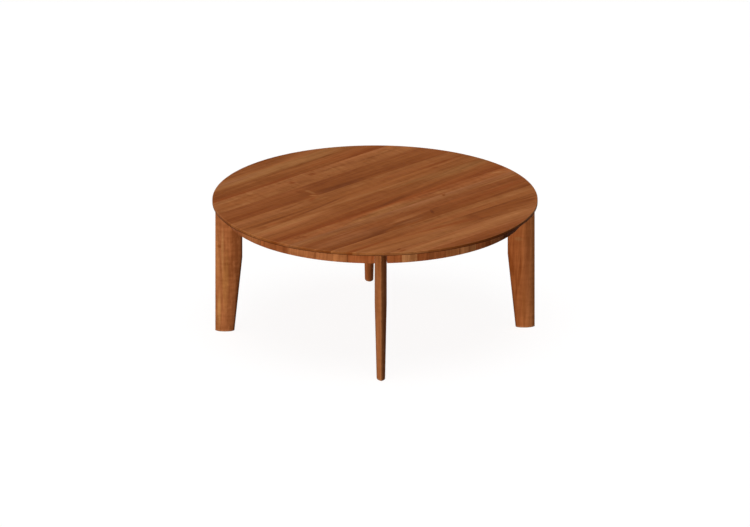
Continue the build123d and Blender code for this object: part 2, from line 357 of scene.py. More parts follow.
def marked(tree, grain, tone, marks):
    """The tone with its stains on it, each given in millimetres and degrees as (along,
    across, half length, half width, slant, stain, strength)."""
    for along, across, half_length, half_width, slant, stain, strength in marks:
        tone = through(tree, MARK, {
            "Vector": grain, "Tone": tone, "Place": (along / 1000, across / 1000, 0),
            "Size": (half_length / 1000, half_width / 1000, 1), "Slant": math.radians(slant),
            "Stain": srgb(*stain), "Strength": strength})["Color"]
    return tone


FIBRE_BUMP = 0.15
FIBRE_DEPTH = 0.0003
OIL_GLOSS = 0.02


def finish_wood(tree, grain, tone, seed, slant=0.0, contrast=1.0, curl=0.0, rim=None):
    """Figure the tone, then the oiled surface with its bump of fibres and pores."""
    figure = through(tree, WOOD, {
        "Vector": grain, "Tone": tone, "Seed": seed, "Slant": math.radians(slant), "Contrast": contrast,
        "Curl": curl})
    colour = figure["Color"]
    if rim is not None:
        colour = through(tree, RIM, {"Vector": rim, "Tone": colour})["Color"]
    bump = add(tree, "ShaderNodeBump", {
        "Strength": FIBRE_BUMP, "Distance": FIBRE_DEPTH, "Height": figure["Height"]})
    shader = add(tree, "ShaderNodeBsdfPrincipled", {
        "Base Color": colour, "Roughness": figure["Roughness"], "Normal": bump.outputs[0],
        "Specular IOR Level": OIL_GLOSS})
    add(tree, "ShaderNodeOutputMaterial", {"Surface": shader.outputs[0]})


# How far the boards are turned from +X towards +Y.
GRAIN_TURN = math.radians(42.75)
# Across the boards, in millimetres: the rim, the fifteen glue lines and the rim again.
SEAMS = (-450, -405, -335, -271, -220, -135, -103, -61, -15, 40, 81, 134, 218, 292, 346, 393, 450)

CREAM = (160, 103, 58)
PEACH = (150, 90, 49)
OLIVE = (146, 94, 51)
ASH = (143, 89, 53)
HONEY = (144, 86, 44)
ORANGE = (142, 76, 35)
AMBER = (138, 79, 37)
CHESTNUT = (131, 72, 33)
UMBER = (126, 67, 26)
RUST = (127, 63, 23)
DEEP = (118, 60, 23)
BURNT = (102, 50, 17)

BOARD_SEED = 7.31
# Tone at the near edge, tone at the far edge, slant of the grain, curl, and the marks on it.
BOARDS = (
    (DEEP, CHESTNUT, 0, 0.0, [(-60, -436, 90, 12, 0, DEEP, 0.7), (60, -428, 160, 10, 0, UMBER, 0.5)]),
    (PEACH, PEACH, -1.5, 0.05, [
        (-150, -374, 230, 24, 0, CREAM, 0.7), (120, -376, 190, 22, 0, CREAM, 0.45),
        (-150, -357, 140, 7, 0, ORANGE, 0.35), (-110, -336, 150, 14, -1, CREAM, 0.7),
        (160, -355, 130, 18, 2, CREAM, 0.6), (-248, -357, 16, 6, 5, RUST, 0.9),
        (-248, -342, 12, 5, 10, RUST, 0.9), (240, -338, 160, 8, 0, AMBER, 0.6)]),
    (HONEY, HONEY, -6, 0.05, [
        (190, -298, 240, 40, 0, UMBER, 0.95), (20, -300, 130, 12, -9, RUST, 0.6),
        (-130, -281, 170, 9, -6, RUST, 0.6), (215, -277, 150, 4, 0, BURNT, 0.6),
        (-120, -322, 150, 10, -4, CREAM, 0.4), (90, -298, 26, 26, 0, DEEP, 0.7),
        (280, -306, 40, 14, 0, DEEP, 0.5), (-70, -313, 70, 6, -4, ASH, 0.5),
        (-190, -293, 170, 18, -5, AMBER, 0.6)]),
    (AMBER, HONEY, 0, 0.1, [
        (-330, -265, 190, 12, 0, RUST, 0.9), (-170, -262, 150, 12, -3, UMBER, 0.8),
        (-40, -258, 150, 13, 0, CHESTNUT, 0.8), (-270, -234, 130, 12, 0, CHESTNUT, 0.4),
        (-235, -233, 14, 7, 0, UMBER, 0.5), (-80, -238, 80, 12, 0, PEACH, 0.6),
        (300, -238, 150, 13, 0, CREAM, 0.45), (110, -234, 230, 11, 0, CREAM, 0.4),
        (110, -258, 100, 10, 3, CHESTNUT, 0.7)]),
    (UMBER, CHESTNUT, 1.5, 0.05, [
        (-330, -213, 150, 8, 0, DEEP, 0.8), (-195, -206, 52, 14, 6, BURNT, 0.8),
        (-120, -196, 80, 5, 10, BURNT, 0.5), (-185, -175, 24, 34, 5, DEEP, 0.6),
        (-320, -182, 70, 7, 0, AMBER, 0.7), (38, -186, 20, 5, 62, BURNT, 0.95),
        (66, -170, 26, 4, 3, BURNT, 0.6), (330, -214, 120, 8, 0, BURNT, 0.35),
        (-50, -173, 110, 9, 3, PEACH, 0.7), (200, -155, 160, 9, 4, ORANGE, 0.5),
        (-340, -147, 110, 10, 0, DEEP, 0.45), (-270, -143, 60, 5, 0, ASH, 0.6),
        (250, -185, 200, 14, 4, RUST, 0.6),
        (-270, -178, 170, 30, 0, ASH, 0.45), (-60, -198, 60, 14, 0, ASH, 0.5),
        (-50, -172, 60, 14, 0, CREAM, 0.3), (190, -150, 120, 10, 0, PEACH, 0.4),
        (350, -180, 60, 12, 0, RUST, 0.5)]),
    (HONEY, ASH, 0, 0.05, [
        (-350, -120, 90, 9, -2, CREAM, 0.6), (-150, -112, 60, 6, 0, CREAM, 0.7),
        (138, -117, 34, 9, 0, CREAM, 0.25), (162, -106, 22, 6, 48, UMBER, 0.95),
        (360, -128, 90, 6, 0, CREAM, 0.6), (-30, -134, 14, 5, 20, DEEP, 0.8),
        (350, -110, 90, 7, 0, CHESTNUT, 0.5), (-200, -131, 120, 6, 0, AMBER, 0.5)]),
    (PEACH, ORANGE, 0, 0.25, [
        (-60, -88, 160, 22, 2, OLIVE, 0.8), (-80, -96, 130, 9, 1, CREAM, 0.65),
        (-40, -76, 120, 8, 1, CREAM, 0.35), (-360, -83, 10, 6, -30, RUST, 0.8),
        (-125, -77, 40, 5, 0, RUST, 0.5), (60, -95, 80, 6, 0, OLIVE, 0.6),
        (170, -84, 40, 9, 0, CREAM, 0.75), (-290, -73, 130, 9, 0, CREAM, 0.5),
        (340, -93, 90, 7, 0, AMBER, 0.6), (398, -80, 32, 8, -25, CREAM, 0.75),
        (270, -67, 220, 10, 1, CHESTNUT, 0.75), (-430, -75, 20, 8, 0, CREAM, 0.5)]),
    (RUST, AMBER, 4, 0.0, [
        (-200, -54, 260, 9, 0, RUST, 0.8), (35, -43, 80, 9, 7, BURNT, 0.55),
        (160, -30, 120, 8, 6, DEEP, 0.5), (-20, -55, 50, 5, 5, DEEP, 0.6),
        (-350, -20, 100, 8, 0, PEACH, 0.25), (-60, -28, 190, 8, 2, RUST, 0.55)]),
    (AMBER, AMBER, 3.5, 0.0, [
        (-320, 16, 200, 34, 0, PEACH, 0.8), (-330, 27, 170, 16, 0, CREAM, 0.9),
        (-30, 0, 190, 12, 4, CHESTNUT, 0.8), (20, 28, 170, 10, 3, CHESTNUT, 0.7),
        (350, 14, 180, 26, 2, OLIVE, 0.9), (210, 32, 150, 11, 0, OLIVE, 0.75)]),
    (HONEY, AMBER, 3, 0.0, [
        (30, 46, 240, 7, 0, CREAM, 0.65), (-390, 50, 30, 11, 0, UMBER, 0.9),
        (-270, 53, 90, 10, 3, UMBER, 0.95), (-150, 64, 110, 6, 6, BURNT, 0.7),
        (-300, 73, 160, 6, 0, BURNT, 0.55), (-345, 56, 16, 8, 0, ORANGE, 0.7),
        (303, 69, 14, 9, 0, RUST, 0.75), (350, 76, 60, 5, 0, PEACH, 0.6),
        (200, 62, 160, 12, 0, AMBER, 0.8), (-270, 69, 190, 9, 0, UMBER, 0.45),
        (70, 72, 90, 8, 0, CHESTNUT, 0.5)]),
    (AMBER, HONEY, 0, 0.1, [
        (-320, 112, 190, 18, 0, PEACH, 0.9), (-300, 87, 160, 6, 0, AMBER, 0.6),
        (-98, 110, 26, 8, -15, CREAM, 0.55), (45, 116, 40, 9, 0, CREAM, 0.55),
        (150, 100, 40, 8, 10, RUST, 0.5), (-120, 124, 24, 7, 20, ORANGE, 0.8),
        (140, 122, 24, 6, 0, CREAM, 0.6), (330, 90, 120, 7, 0, RUST, 0.8),
        (330, 108, 100, 4, 0, UMBER, 0.4), (190, 94, 130, 9, 0, CHESTNUT, 0.7),
        (220, 110, 150, 8, 0, CHESTNUT, 0.6), (-250, 104, 160, 12, 0, CREAM, 0.3)]),
    (UMBER, CHESTNUT, 0, 0.0, [
        (0, 147, 110, 17, 0, BURNT, 0.75), (-10, 142, 85, 9, 0, BURNT, 0.8),
        (-230, 146, 170, 14, 0, DEEP, 0.75), (250, 146, 190, 9, -3, DEEP, 0.5),
        (-100, 143, 13, 7, -40, CREAM, 0.6), (-84, 170, 26, 8, 84, CREAM, 0.6),
        (-105, 192, 16, 12, 90, DEEP, 0.7), (-30, 194, 60, 24, 0, DEEP, 0.5),
        (-30, 212, 80, 7, 0, BURNT, 0.5), (90, 212, 140, 5, 0, DEEP, 0.7),
        (220, 200, 130, 14, 0, AMBER, 0.6), (250, 185, 180, 20, 0, AMBER, 0.7),
        (-330, 158, 110, 12, 0, RUST, 0.6)]),
    (HONEY, PEACH, 0, 0.25, [
        (-290, 256, 140, 28, 0, AMBER, 0.6), (320, 262, 100, 30, 0, HONEY, 0.6),
        (-64, 262, 13, 12, 70, RUST, 0.8), (90, 254, 50, 16, 0, CREAM, 0.6),
        (-300, 276, 60, 9, 0, CREAM, 0.8), (-210, 275, 30, 7, -10, CREAM, 0.7),
        (-290, 228, 60, 8, 0, CREAM, 0.5), (-170, 233, 30, 9, 0, CREAM, 0.4),
        (25, 270, 16, 9, 0, RUST, 0.7), (40, 292, 10, 4, -30, RUST, 0.7),
        (85, 292, 12, 4, -30, RUST, 0.7), (105, 294, 10, 4, -30, RUST, 0.7),
        (0, 285, 12, 9, 80, CREAM, 0.6), (300, 264, 22, 9, 15, CREAM, 0.6),
        (308, 274, 12, 4, -25, RUST, 0.8), (-330, 243, 80, 7, 0, AMBER, 0.6),
        (200, 240, 60, 5, 6, AMBER, 0.6), (-120, 282, 200, 5, 0, CREAM, 0.4)]),
    (RUST, AMBER, 0, 0.0, [
        (-180, 306, 110, 10, 0, AMBER, 0.6), (90, 303, 150, 12, 0, AMBER, 0.95),
        (-80, 320, 200, 14, 0, AMBER, 0.8), (40, 332, 110, 5, 0, HONEY, 0.8),
        (-190, 334, 110, 10, 0, HONEY, 0.6), (250, 328, 110, 16, 0, CHESTNUT, 0.6),
        (-60, 343, 260, 5, 0, HONEY, 0.5)]),
    (AMBER, OLIVE, -1, 0.0, [
        (-30, 374, 280, 26, 0, OLIVE, 0.95), (-100, 370, 90, 12, 0, CREAM, 0.3),
        (80, 372, 60, 10, 0, CREAM, 0.3), (0, 351, 200, 6, 0, AMBER, 0.4),
        (-190, 382, 150, 13, 0, ASH, 0.75), (110, 359, 130, 9, 0, OLIVE, 0.7)]),
    (HONEY, UMBER, 0, 0.0, [(120, 413, 130, 18, 0, PEACH, 0.7), (90, 428, 100, 9, 0, HONEY, 0.5)]),
)

for number, (near, far, slant, curl, marks) in enumerate(BOARDS, start=1):
    material, tree = new_material(f"top_board_{number:02d}_wood")
    here = add(tree, "ShaderNodeTexCoord").outputs["Object"]
    grain = add(tree, "ShaderNodeMapping", {"Vector": here, "Rotation": (0, 0, -GRAIN_TURN)}).outputs[0]
    across = add(tree, "ShaderNodeSeparateXYZ", {0: grain}).outputs["Y"]
    over = between(tree, across, SEAMS[number - 1] / 1000, SEAMS[number] / 1000)
    tone = blend(tree, over, srgb(*near), srgb(*far))
    tone = marked(tree, grain, tone, marks)
    finish_wood(tree, grain, tone, seed=number * BOARD_SEED, slant=slant, curl=curl, rim=here)
    CAD[f"top_board_{number:02d}"].data.materials[0] = material


# ---- the apron -------------------------------------------------------
# A ring under the top, bricked up from upright staves of the same wood in mixed tones,
# sawn round and glued to the underside in four quarters.

APRON_RADIUS = 0.415

SAND = (184, 124, 76)
STRAW = (175, 113, 67)
APRICOT = (171, 106, 60)
TAN = (164, 100, 57)
COPPER = (158, 88, 46)
BARK = (146, 82, 43)
# A much darker tone, used on the front right quarter's last staves near the right leg: painted shade where
# the apron turns away from the key lamp.
SHADED_SMOKE = (110, 61, 33)

# Each quarter from its own leg on, round the table from the right leg: where each stave ends, in
# degrees, and its tone.
STAVES = {
    "back_right": [(12, COPPER), (21, TAN), (33, STRAW), (41, COPPER), (52, BARK), (63, APRICOT),
                   (70, SAND), (81, COPPER), (90, TAN)],
    "back_left": [(9, TAN), (19, BARK), (30, APRICOT), (42, TAN), (48, SAND), (60, COPPER),
                  (71, BARK), (82, STRAW), (90, TAN)],
    "front_left": [(12, COPPER), (25.5, BARK), (38, TAN), (40, COPPER), (52, BARK), (58, TAN),
                   (71, TAN), (77, APRICOT), (84, COPPER), (90, COPPER)],
    # The last two staves of this quarter carry painted shade.
    "front_right": [(8, COPPER), (14, SAND), (19, COPPER), (26, BARK), (32, APRICOT), (40, STRAW),
                    (48, COPPER), (57, TAN), (74, SHADED_SMOKE), (90, SHADED_SMOKE)],
}
QUARTER = math.pi / 2
GLUE_LINE = math.radians(0.05)
GLUE_TONE = (128, 71, 36)
APRON_SEED = 3.0

for number, (quarter, staves) in enumerate(STAVES.items()):
    material, tree = new_material(f"apron_{quarter}_wood")
    here = add(tree, "ShaderNodeTexCoord").outputs["Object"]
    turned = add(tree, "ShaderNodeMapping", {"Vector": here, "Rotation": (0, 0, -number * QUARTER)})
    split = add(tree, "ShaderNodeSeparateXYZ", {0: turned.outputs[0]}).outputs
    angle = maths(tree, "ARCTAN2", split["Y"], split["X"])
    ramp = add(tree, "ShaderNodeValToRGB", {0: maths(tree, "DIVIDE", angle, QUARTER)})
    ramp.color_ramp.interpolation = "CONSTANT"
    stops = ramp.color_ramp.elements
    stops[0].color = srgb(*staves[0][1])
    stops[-1].color = srgb(*staves[-1][1])
    for (end, _), (_, next_tone) in zip(staves, staves[1:]):
        stops.new((math.radians(end) - GLUE_LINE) / QUARTER).color = srgb(*GLUE_TONE)
        stops.new(math.radians(end) / QUARTER).color = srgb(*next_tone)
    around = maths(tree, "MULTIPLY", angle, APRON_RADIUS)
    depth = maths(tree, "SUBTRACT", level_length(tree, here), APRON_RADIUS)
    grain = add(tree, "ShaderNodeCombineXYZ", {0: split["Z"], 1: around, 2: depth}).outputs[0]
    tone = ramp.outputs["Color"]
    finish_wood(tree, grain, tone, seed=APRON_SEED + number, slant=2, contrast=1.7, curl=0.1)
    CAD[f"apron_{quarter}"].data.materials[0] = material


# ---- the legs --------------------------------------------------------
# Solid fins with upright grain, shaped to a teardrop section that keeps one square arris
# outside, and tapered below. Shade is painted darker onto the rounded inner edge.

# A noise, given as those of the wood.
WEAR_PATCHES = (260, 160, 3.0)
PATCH_REACH = 0.0025
# Heights of the scuffs and the dirt and the arris's distance out, each from where the wear
# starts to where it is full.
SCUFFED_FOOT = (0.0045, 0.001)
DIRTY_EDGE = (0.0012, 0.0002)
RUBBED_ARRIS = (0.4400, 0.4416)
SCUFFED_TONE = srgb(186, 142, 102)
DIRTY_TONE = srgb(70, 48, 34)
RUBBED_TONE = srgb(196, 138, 86)
SCUFFED_STRENGTH = 0.4
DIRTY_STRENGTH = 0.5
RUBBED_STRENGTH = 0.25
RUBBED_PATCHES = 0.15


def wear_effect():
    """Wear on a leg, given as (height, out, sideways): the foot is scuffed pale in patches and
    dark with dirt at its very edge, and the outer arris is rubbed lighter."""
    tree, given, result = effect("leg_wear", {"Vector": "Vector", "Tone": "Color"}, {"Color": "Color"})
    here = add(tree, "ShaderNodeSeparateXYZ", {0: given["Vector"]}).outputs
    patchy = stretched_noise(tree, given["Vector"], *WEAR_PATCHES)
    low = maths(tree, "MULTIPLY_ADD", patchy, PATCH_REACH, here["X"])
    scuffed = maths(tree, "MULTIPLY", between(tree, low, *SCUFFED_FOOT), SCUFFED_STRENGTH)
    dirty = maths(tree, "MULTIPLY", between(tree, here["X"], *DIRTY_EDGE), DIRTY_STRENGTH)
    arris = between(tree, here["Y"], *RUBBED_ARRIS)
    strength = maths(tree, "MULTIPLY_ADD", patchy, RUBBED_PATCHES, RUBBED_STRENGTH)
    rubbed = maths(tree, "MULTIPLY", arris, strength)
    tone = blend(tree, scuffed, given["Tone"], SCUFFED_TONE)
    tone = blend(tree, dirty, tone, DIRTY_TONE)
    tree.links.new(blend(tree, rubbed, tone, RUBBED_TONE), result.inputs["Color"])
    return tree


WEAR = wear_effect()
# Distances out from the table's middle, and the height at which the taper starts.
ARRIS_TO_FLANK = (0.438, 0.390)
TAPER_TOP = 0.214
HEAD_INNER = 0.367
FOOT_INNER = 0.389
# Painted shade on the rounded inner edge: how far in from the edge it reaches, its tone and its strength.
INNER_SHADE_REACH = 0.008
INNER_SHADE_TONE = srgb(92, 48, 22)
INNER_SHADE_STRENGTH = 0.55
LEG_SEED = 20.0
LEG_SEED_STEP = 3.7

# Round the table from the right leg: tone at the arris, tone on the flanks, slant, curl, and
# marks as (height, out from the middle, half length, half width, slant, stain, strength).
LEGS = {
    "right": ((176, 107, 60), (152, 84, 42), 3, 0.1, [
        (190, 420, 130, 11, 0, BARK, 0.75), (262, 396, 6, 16, 5, CREAM, 0.7),
        (190, 375, 60, 10, -12, RUST, 0.7), (150, 398, 90, 5, 8, RUST, 0.5),
        (70, 412, 70, 6, 0, UMBER, 0.5), (280, 420, 50, 12, 0, CHESTNUT, 0.5)]),
    "back": ((158, 94, 50), (166, 94, 48), 0, 0.1, []),
    "left": ((158, 94, 53), (166, 98, 54), 0, 0.35, [
        (249, 431, 6, 6, 0, RUST, 0.7), (150, 414, 90, 10, 0, (180, 120, 62), 0.5),
        (60, 432, 60, 7, 0, (182, 124, 68), 0.6), (240, 423, 70, 5, 0, (186, 128, 76), 0.6),
        (210, 436, 90, 7, 0, (180, 120, 66), 0.25)]),
    "front": ((161, 98, 55), (155, 92, 51), 0, 0.1, []),
}
for number, (side, (outer, flank, slant, curl, marks)) in enumerate(LEGS.items()):
    material, tree = new_material(f"{side}_leg_wood")
    here = add(tree, "ShaderNodeTexCoord").outputs["Object"]
    turned = add(tree, "ShaderNodeMapping", {"Vector": here, "Rotation": (0, 0, -number * QUARTER)})
    split = add(tree, "ShaderNodeSeparateXYZ", {0: turned.outputs[0]}).outputs
    grain = add(tree, "ShaderNodeCombineXYZ", {0: split["Z"], 1: split["X"], 2: split["Y"]}).outputs[0]
    inward = between(tree, split["X"], *ARRIS_TO_FLANK, kind="SMOOTHSTEP")
    tone = blend(tree, inward, srgb(*outer), srgb(*flank))
    inner_edge = between(tree, split["Z"], 0.0, TAPER_TOP, FOOT_INNER, HEAD_INNER)
    from_edge = maths(tree, "SUBTRACT", split["X"], inner_edge)
    # Painted shade, darker towards the rounded inner edge.
    inner_shade = between(tree, from_edge, INNER_SHADE_REACH, 0.0, 0.0, INNER_SHADE_STRENGTH, "SMOOTHSTEP")
    tone = blend(tree, inner_shade, tone, INNER_SHADE_TONE)
    tone = through(tree, WEAR, {"Vector": grain, "Tone": marked(tree, grain, tone, marks)})["Color"]
    seed = LEG_SEED + number * LEG_SEED_STEP
    finish_wood(tree, grain, tone, seed=seed, slant=slant, contrast=1.25, curl=curl)
    CAD[f"{side}_leg"].data.materials[0] = material


# ---- the sleeve bushes -----------------------------------------------
# One plain nylon tube pressed into each leg's cross hole. It came from the mould in its
# natural ivory and turns on the bolt.

NYLON_CLOUDS = 150.0
NYLON_GRAIN = 2500.0
CLOUD_RANGE = (0.3, 0.7)
CLOUDED = 0.8
DULL_NYLON = 0.5
SMOOTH_NYLON = 0.38
NYLON_GLOSS = 0.4
MOULD_BUMP = 0.1
MOULD_DEPTH = 0.0001


def nylon_material(name, colour):
    """Moulded nylon: faint clouds in the tone, a soft satin surface and a fine grain."""
    material, tree = new_material(name)
    here = add(tree, "ShaderNodeTexCoord").outputs["Object"]
    clouds = add(tree, "ShaderNodeTexNoise", {"Vector": here, "Scale": NYLON_CLOUDS, "Detail": 3.0})
    cloud = clouds.outputs["Fac"]
    grain = add(tree, "ShaderNodeTexNoise", {"Vector": here, "Scale": NYLON_GRAIN, "Detail": 2.0})
    clouded = (*[CLOUDED * value for value in colour[:3]], 1.0)
    bump = add(tree, "ShaderNodeBump", {
        "Strength": MOULD_BUMP, "Distance": MOULD_DEPTH, "Height": grain.outputs["Fac"]})
    shader = add(tree, "ShaderNodeBsdfPrincipled", {
        "Base Color": blend(tree, between(tree, cloud, *CLOUD_RANGE), clouded, colour),
        "Roughness": between(tree, cloud, *CLOUD_RANGE, DULL_NYLON, SMOOTH_NYLON),
        "Normal": bump.outputs[0], "Specular IOR Level": NYLON_GLOSS})
    add(tree, "ShaderNodeOutputMaterial", {"Surface": shader.outputs[0]})
    return material


ivory = nylon_material("ivory_nylon", srgb(214, 205, 182))
for side in LEGS:
    CAD[f"{side}_sleeve_bush"].data.materials[0] = ivory


# ---- the brackets ----------------------------------------------------
# Pressed angles of 2.5 mm steel, two at each leg, zinc-plated after cutting. Their sheared
# edges are worn to a brighter, smoother line.

# Out from the table's middle, sideways from the leg's and up from the floor.
BRACKET_NEAR = 0.344
BRACKET_FAR = 0.392
BRACKET_SIDE = 0.0452
BRACKET_LOW = 0.3305
# How far inside an edge its wear starts and is full.
WORN_LINE = (0.0007, 0.0001)


def leg_frame(tree, vector):
    """Any leg's place as (out from the table's middle, sideways, height): the larger and the
    smaller of the two level distances."""
    size = add(tree, "ShaderNodeVectorMath", {0: vector}, operation="ABSOLUTE").outputs[0]
    here = add(tree, "ShaderNodeSeparateXYZ", {0: size}).outputs
    return (maths(tree, "MAXIMUM", here["X"], here["Y"]), maths(tree, "MINIMUM", here["X"], here["Y"]),
            here["Z"])


PLATE_CELLS = 420.0
# Noises, given as those of the wood.
PLATE_CLOUDS = (60, 90, 4.0)
RUB_MARKS = (60, 2400, 2.0, 0.6)
DULL_ZINC = (0.72, 0.70, 0.66, 1)
BRIGHT_ZINC = (1.2, 1.22, 1.26, 1)
BARE_METAL = srgb(214, 212, 206)
PLAIN_SHARE = 0.35
CLOUD_SHARE = 0.3
CELL_SHARE = 0.25
RUB_SHARE = 0.12
WEAR_CLOUDS = 0.35
WORN_RANGE = (0.5, 0.9)
ZINC_ROUGHNESS = 0.57
ROUGH_CLOUDS = 0.07
WORN_SMOOTHER = -0.12
RUB_HEIGHT = 0.4
PLATE_BUMP = 0.2
PLATE_DEPTH = 0.0001


def plating_effect():
    """Zinc plate: cells of slightly different grey, clouds of dull passivation, fine rub marks
    and brighter bare metal where it is worn."""
    tree, given, result = effect("zinc_plating", {"Vector": "Vector", "Tone": "Color", "Wear": "Float"},
                                 {"Color": "Color", "Roughness": "Float", "Height": "Float"})
    cell = add(tree, "ShaderNodeTexVoronoi", {"Vector": given["Vector"], "Scale": PLATE_CELLS})
    shade = add(tree, "ShaderNodeSeparateColor", {0: cell.outputs["Color"]}).outputs[0]
    cloud = stretched_noise(tree, given["Vector"], *PLATE_CLOUDS)
    rubbed = stretched_noise(tree, given["Vector"], *RUB_MARKS)
    dull = blend(tree, 1.0, given["Tone"], DULL_ZINC, "MULTIPLY")
    bright = blend(tree, 1.0, given["Tone"], BRIGHT_ZINC, "MULTIPLY")
    mixed = maths(tree, "MULTIPLY_ADD", shade, CELL_SHARE, PLAIN_SHARE)
    mixed = maths(tree, "MULTIPLY_ADD", cloud, CLOUD_SHARE, mixed)
    mixed = maths(tree, "MULTIPLY_ADD", rubbed, RUB_SHARE, mixed)
    worn = between(tree, maths(tree, "MULTIPLY_ADD", cloud, WEAR_CLOUDS, given["Wear"]), *WORN_RANGE)
    plated = blend(tree, mixed, dull, bright)
    tree.links.new(blend(tree, worn, plated, BARE_METAL), result.inputs["Color"])
    roughness = maths(tree, "MULTIPLY_ADD", cloud, ROUGH_CLOUDS, ZINC_ROUGHNESS)
    roughness = maths(tree, "MULTIPLY_ADD", worn, WORN_SMOOTHER, roughness)
    tree.links.new(roughness, result.inputs["Roughness"])
    tree.links.new(maths(tree, "MULTIPLY_ADD", rubbed, RUB_HEIGHT, cloud), result.inputs["Height"])
    return tree


PLATING = plating_effect()


def finish_metal(tree, vector, tone, wear):
    """The plated surface with its bump."""
    plate = through(tree, PLATING, {"Vector": vector, "Tone": tone, "Wear": wear})
    bump = add(tree, "ShaderNodeBump", {
        "Strength": PLATE_BUMP, "Distance": PLATE_DEPTH, "Height": plate["Height"]})
    shader = add(tree, "ShaderNodeBsdfPrincipled", {
        "Base Color": plate["Color"], "Roughness": plate["Roughness"], "Normal": bump.outputs[0],
        "Metallic": 1.0})
    add(tree, "ShaderNodeOutputMaterial", {"Surface": shader.outputs[0]})


def worn_edge(tree, value, edge, inwards):
    """1 at an edge, fading to 0 where its wear starts. Inwards is 1 where the plate lies beyond
    the edge and -1 where it lies before it."""
    starts, full = WORN_LINE
    return between(tree, value, edge + inwards * starts, edge + inwards * full)


ZINC = srgb(134, 136, 136)
SHEARED_WEAR = 0.8
bracket_zinc, tree = new_material("bracket_zinc")
here = add(tree, "ShaderNodeTexCoord").outputs["Object"]
out, sideways, height = leg_frame(tree, here)
ends = maths(tree, "MAXIMUM", worn_edge(tree, out, BRACKET_NEAR, 1), worn_edge(tree, out, BRACKET_FAR, -1))
sides = maths(tree, "MAXIMUM", worn_edge(tree, height, BRACKET_LOW, 1),
              worn_edge(tree, sideways, BRACKET_SIDE, -1))
finish_metal(tree, here, ZINC, maths(tree, "MULTIPLY", maths(tree, "MAXIMUM", ends, sides), SHEARED_WEAR))
for side in LEGS:
    for hand in ("left", "right"):
        CAD[f"{side}_bracket_{hand}"].data.materials[0] = bracket_zinc


# ---- the friction washers --------------------------------------------
# A hardened washer between each leg and the nut-side cheek, let into the wood. Folding has
# polished rings into its faces.

# The right leg's hinge, out from the table's middle and up from the floor.
hinges = {joint["name"]: joint["pos_m"] for joint in frame["joints"]}
PIVOT_OUT, _, PIVOT_HIGH = hinges["right_leg_fold"]
# The rings are the sine of the distance from the pivot times this.
RING_WAVE = 9000.0
RING_WEAR = 0.25
WASHER_WEAR = 0.3
RUBBED_STEEL = srgb(138, 138, 136)

rubbed_steel, tree = new_material("rubbed_steel")
here = add(tree, "ShaderNodeTexCoord").outputs["Object"]
out, sideways, height = leg_frame(tree, here)
off = add(tree, "ShaderNodeCombineXYZ", {
    0: maths(tree, "SUBTRACT", out, PIVOT_OUT), 1: maths(tree, "SUBTRACT", height, PIVOT_HIGH)})
reach = level_length(tree, off.outputs[0])
rings = maths(tree, "SINE", maths(tree, "MULTIPLY", reach, RING_WAVE))
finish_metal(tree, here, RUBBED_STEEL, maths(tree, "MULTIPLY_ADD", rings, RING_WEAR, WASHER_WEAR))
CAD["friction_washers"].data.materials[0] = rubbed_steel


# ---- the pivot bolts -------------------------------------------------
# Zinc-plated hexagon bolts of 8 mm, turned and rolled: a chamfered head outside one cheek,
# a plain shank through the sleeve and a thread in the nut.


def skin(grid, poles=None):
    """Points, quads and triangles of a grid of points, (rows, around, 3), that joins up
    around. Two poles close its first and last rows with fans; without them the last row
    joins the first, as on a ring."""
    rows, around, _ = grid.shape
    index = np.arange(rows * around).reshape(rows, around)
    beside = np.roll(index, -1, axis=1)
    if poles is None:
        quads = np.stack([index, beside, np.roll(beside, -1, axis=0), np.roll(index, -1, axis=0)], -1)
        return grid.reshape(-1, 3), quads.reshape(-1, 4), np.empty((0, 3), int)
    quads = np.stack([index[:-1], beside[:-1], beside[1:], index[1:]], -1)
    first, last = np.full(around, rows * around), np.full(around, rows * around + 1)
    fans = np.concatenate([np.stack([beside[0], index[0], first], -1),
                           np.stack([index[-1], beside[-1], last], -1)])
    return np.concatenate([grid.reshape(-1, 3), poles]), quads.reshape(-1, 4), fans


def round_grid(radius, height, around):
    """Points of a turned grid: radius and height are (rows, around) or (rows, 1)."""
    angle = np.linspace(0, 2 * np.pi, around, endpoint=False)
    radius, height = np.broadcast_arrays(radius, height + 0 * angle)
    return np.stack([radius * np.cos(angle), radius * np.sin(angle), height], -1)


def worn_skin(grid, wear, poles=None):
    """A skin and how worn each of its points is, 0 to 1."""
    points, quads, fans = skin(grid, poles)
    wear = np.broadcast_to(wear, grid.shape[:2]).reshape(-1)
    return points, quads, fans, np.concatenate([wear, np.zeros(len(points) - len(wear))])


SHARP_EDGE = math.radians(32)


def fit_pieces(name, part, places, material, node=None):
    """Copies of one part, in millimetres, at each of the places, (turn and move as a 3 by 4
    array), as one piece that rides on the top. It stands for the CAD node, if one is named."""
    points, quads, fans, wear = part
    places = np.array(places)
    placed = np.einsum("nij,mj->nmi", places[:, :, :3], points) + places[:, None, :, 3]
    shift = np.arange(len(places))[:, None, None] * len(points)
    faces = (quads + shift).reshape(-1, 4).tolist() + (fans + shift).reshape(-1, 3).tolist()
    mesh = bpy.data.meshes.new(name)
    mesh.from_pydata((placed.reshape(-1, 3) / 1000).tolist(), [], faces)
    mesh.shade_smooth()
    mesh.set_sharp_from_angle(angle=SHARP_EDGE)
    mesh.attributes.new("wear", "FLOAT", "POINT").data.foreach_set("value", np.tile(wear, len(places)))
    mesh.materials.append(material)
    piece = bpy.data.objects.new(name, mesh)
    bpy.context.scene.collection.objects.link(piece)
    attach(piece, "tabletop")
    if node:
        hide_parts(node)


def carried_round(turn, place):
    """That place of the right leg, carried round to another leg."""
    c, s = round(math.cos(turn)), round(math.sin(turn))
    return np.array([[c, -s, 0], [s, c, 0], [0, 0, 1]]) @ np.array(place)


QUARTERS = [number * QUARTER for number in range(4)]
# A fastener made along +Z points along +Y through the right leg's pivot.
THROUGH_PIVOT = [[1, 0, 0, PIVOT_OUT * 1000], [0, 0, 1, 0], [0, -1, 0, PIVOT_HIGH * 1000]]
PIVOTS = [carried_round(turn, THROUGH_PIVOT) for turn in QUARTERS]

